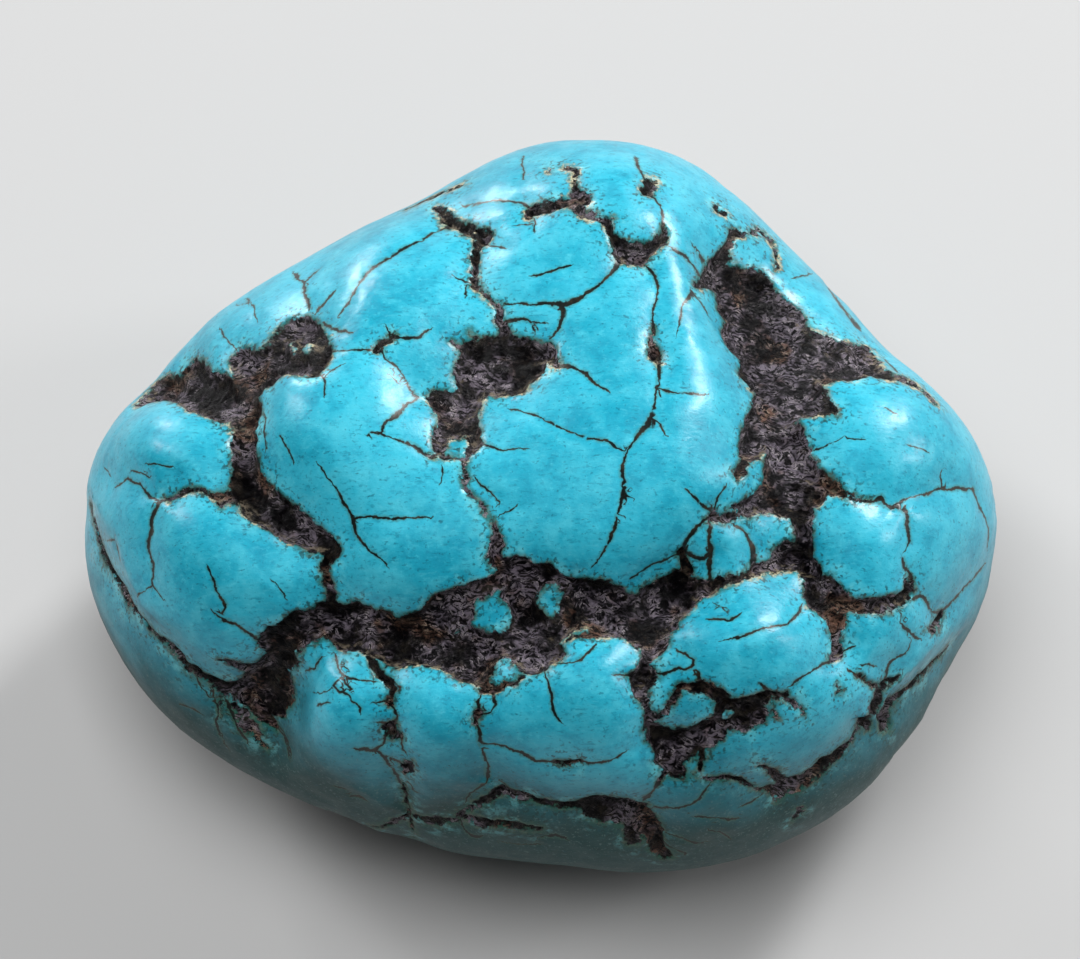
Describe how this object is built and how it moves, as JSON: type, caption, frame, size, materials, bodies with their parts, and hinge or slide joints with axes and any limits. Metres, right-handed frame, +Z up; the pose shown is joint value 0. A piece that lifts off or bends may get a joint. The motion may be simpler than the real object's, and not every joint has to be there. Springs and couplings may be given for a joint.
{
  "type": "tumbled turquoise nugget",
  "caption": "Palm-sized polished turquoise pebble, rounded and lumpy, blue-green with recessed dark matrix veins, lying on its broad back.",
  "frame": {"origin": "on the surface the stone rests on, under the middle of its bounding box", "axes": "+Z up out of the resting flat, +X along the long side, +Y towards the narrow shoulder at the back"},
  "size_m": [0.048, 0.0396, 0.0269],
  "materials": {
    "turquoise": "waxy hand-polished turquoise with recessed rough brown-black matrix veins"
  },
  "bodies": {
    "root": {"turquoise_nugget": "turquoise"}
  },
  "joints": []
}
